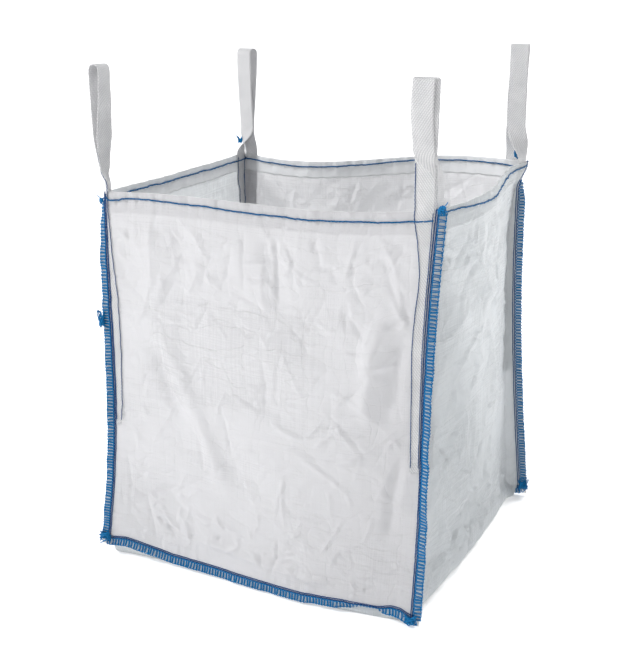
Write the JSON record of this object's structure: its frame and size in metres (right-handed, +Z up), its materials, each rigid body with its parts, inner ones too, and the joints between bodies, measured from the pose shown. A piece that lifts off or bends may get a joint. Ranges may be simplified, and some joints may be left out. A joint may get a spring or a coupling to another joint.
{
  "type": "bulk bag",
  "caption": "Open-top woven polypropylene bulk bag with hemmed rim, outward overlocked corner seams and sewn webbing lifting loops that fold over at the rim.",
  "frame": {"origin": "centre of the bounding box at floor level, under the middle of the base", "axes": "+X along the front panel to its right, -Y the way the front panel faces, +Z up"},
  "size_m": [1.0145, 1.013, 1.378],
  "materials": {
    "fabric": "white woven polypropylene tape fabric, slightly glossy and translucent",
    "webbing": "matt white twill-woven webbing",
    "overlock_thread": "bright blue twisted sewing thread",
    "chain_thread": "navy blue twisted sewing thread"
  },
  "bodies": {
    "root": {"u_panel": "fabric", "front_panel": "fabric", "overlock_front_left": "overlock_thread", "chain_stitch_front_left": "chain_thread", "overlock_front_right": "overlock_thread", "chain_stitch_front_right": "chain_thread", "overlock_front_bottom": "overlock_thread", "chain_stitch_front_bottom": "chain_thread", "back_panel": "fabric", "overlock_back_left": "overlock_thread", "chain_stitch_back_left": "chain_thread", "overlock_back_right": "overlock_thread", "chain_stitch_back_right": "chain_thread", "overlock_back_bottom": "overlock_thread", "chain_stitch_back_bottom": "chain_thread", "hem_stitch_front": "overlock_thread", "hem_stitch_back": "overlock_thread", "hem_stitch_left": "overlock_thread", "hem_stitch_right": "overlock_thread", "webbing_outer_leg_front_left": "webbing", "webbing_inner_leg_front_left": "webbing", "webbing_edge_stitch_front_left": "chain_thread", "seam_tail_top_front_left": "overlock_thread", "seam_tail_bottom_front_left": "overlock_thread", "webbing_outer_leg_front_right": "webbing", "webbing_inner_leg_front_right": "webbing", "webbing_edge_stitch_front_right": "chain_thread", "seam_tail_top_front_right": "overlock_thread", "seam_tail_bottom_front_right": "overlock_thread", "webbing_outer_leg_back_right": "webbing", "webbing_inner_leg_back_right": "webbing", "webbing_edge_stitch_back_right": "chain_thread", "seam_tail_top_back_right": "overlock_thread", "seam_tail_bottom_back_right": "overlock_thread", "webbing_outer_leg_back_left": "webbing", "webbing_inner_leg_back_left": "webbing", "webbing_edge_stitch_back_left": "chain_thread", "seam_tail_top_back_left": "overlock_thread", "seam_tail_bottom_back_left": "overlock_thread"},
    "loop_front_left": {"lifting_loop_front_left": "webbing"},
    "loop_front_right": {"lifting_loop_front_right": "webbing"},
    "loop_back_right": {"lifting_loop_back_right": "webbing"},
    "loop_back_left": {"lifting_loop_back_left": "webbing"}
  },
  "joints": [
    {"name": "loop_fold_front_left", "type": "hinge", "parent": "root", "child": "loop_front_left", "pos_m": [-0.426, -0.447, 1.068], "axis": [-0.1736, -0.9848, 0], "range_deg": [-95, 140]},
    {"name": "loop_fold_front_right", "type": "hinge", "parent": "root", "child": "loop_front_right", "pos_m": [0.427, -0.449, 1.092], "axis": [1, 0, 0], "range_deg": [-95, 140]},
    {"name": "loop_fold_back_right", "type": "hinge", "parent": "root", "child": "loop_back_right", "pos_m": [0.402, 0.447, 1.102], "axis": [-1, 0, 0], "range_deg": [-95, 140]},
    {"name": "loop_fold_back_left", "type": "hinge", "parent": "root", "child": "loop_back_left", "pos_m": [-0.476, 0.443, 1.072], "axis": [-0.9659, 0.2588, 0], "range_deg": [-95, 140]}
  ]
}
